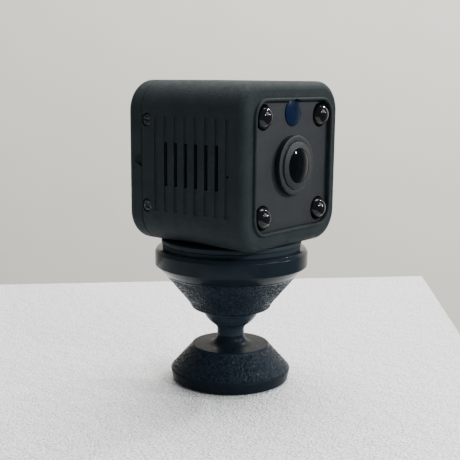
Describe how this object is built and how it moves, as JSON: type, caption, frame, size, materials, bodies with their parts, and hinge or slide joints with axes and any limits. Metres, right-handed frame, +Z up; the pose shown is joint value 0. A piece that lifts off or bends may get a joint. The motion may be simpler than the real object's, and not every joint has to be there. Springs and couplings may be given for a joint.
{
  "type": "security camera",
  "caption": "Small cube-shaped indoor security camera with side vents and night lamps, held by magnet on a round ball-jointed stand that tilts and turns.",
  "frame": {"origin": "centre of the foot's underside, on the surface the camera stands on", "axes": "+Z up along the stand's axis, -Y the way the lens looks, +X to the camera's left-hand side as it looks"},
  "size_m": [0.0354, 0.0365, 0.0689],
  "materials": {
    "case_plastic": "fine satin texture, moulded ABS",
    "panel_plastic": "smooth matt, moulded ABS",
    "stand_plastic": "glossy, fine leather grain on the cones",
    "stand_gloss": "smooth gloss",
    "disc_rubber": "matt silicone",
    "pad_rubber": "matt foam rubber",
    "ball_plastic": "smooth satin gloss, acetal",
    "liner_nylon": "natural nylon",
    "steel": "zinc plated",
    "black_screw": "black oxide, satin",
    "magnet": "nickel plated",
    "lens_metal": "black anodised, satin",
    "lens_glass": "coated, polished",
    "lamp_epoxy": "dark tinted epoxy, polished",
    "window_blue": "dark blue tinted, smooth",
    "board_green": "solder mask, satin",
    "chip": "epoxy, matt",
    "contact_metal": "gold flash",
    "shield_metal": "tinned steel",
    "cell_wrap": "aluminium laminate pouch",
    "foam": "double-sided foam tape",
    "ribbon_amber": "polyimide film",
    "status_clear": "clear moulded light pipe"
  },
  "bodies": {
    "foot": {"foot_shell": "stand_plastic", "ball_stud": "ball_plastic", "foot_pad": "pad_rubber", "foot_weight": "steel", "foot_screw": "steel"},
    "liner": {"ball_liner": "liner_nylon"},
    "seat": {"ball_seat": "liner_nylon"},
    "cup": {"cup_shell": "stand_plastic", "magnet_housing": "stand_gloss", "cup_screws": "steel", "disc_spring": "steel", "stand_magnet": "magnet", "mount_disc": "disc_rubber"},
    "camera": {"housing_shell": "case_plastic", "front_panel": "panel_plastic", "light_window": "window_blue", "ir_lamps": "lamp_epoxy", "ir_lamp_leads": "steel", "lamp_board": "board_green", "light_sensor": "chip", "lamp_ribbon": "ribbon_amber", "lens_barrel": "lens_metal", "lens_front_element": "lens_glass", "lens_middle_element": "lens_glass", "lens_rear_element": "lens_glass", "lens_holder": "chip", "ir_filter": "lens_glass", "image_sensor": "chip", "sensor_board": "board_green", "main_board": "board_green", "board_spacers": "contact_metal", "board_screws": "steel", "battery_pad": "foam", "battery": "cell_wrap", "board_header": "chip", "processor": "chip", "wifi_module": "shield_metal", "antenna": "ribbon_amber", "keeper_plate": "steel", "microphone": "shield_metal", "rear_cover": "case_plastic", "case_screws": "black_screw", "usb_shell": "shield_metal", "usb_tongue": "chip", "power_switch": "shield_metal", "button_switch": "chip", "status_light": "status_clear", "status_lamp": "status_clear", "card_socket": "shield_metal"},
    "knob": {"switch_knob": "ball_plastic"},
    "button": {"reset_button": "ball_plastic"}
  },
  "joints": [
    {"name": "tilt_forward", "type": "hinge", "parent": "foot", "child": "liner", "pos_m": [0, 0, 0.019], "axis": [1, 0, 0], "range_deg": [-30, 30]},
    {"name": "tilt_sideways", "type": "hinge", "parent": "liner", "child": "seat", "pos_m": [0, 0, 0.019], "axis": [0, 1, 0], "range_deg": [-30, 30]},
    {"name": "swivel", "type": "hinge", "parent": "seat", "child": "cup", "pos_m": [0, 0, 0.019], "axis": [0, 0, 1], "continuous": true},
    {"name": "camera_lift", "type": "slide", "parent": "cup", "child": "camera", "axis": [0, 0, 1], "range_m": [0, 0.02]},
    {"name": "power_slide", "type": "slide", "parent": "camera", "child": "knob", "axis": [1, 0, 0], "range_m": [0, 0.002]},
    {"name": "reset_press", "type": "slide", "parent": "camera", "child": "button", "axis": [0, -1, 0], "range_m": [0, 0.0004], "stiffness_N_per_m": 2500}
  ]
}
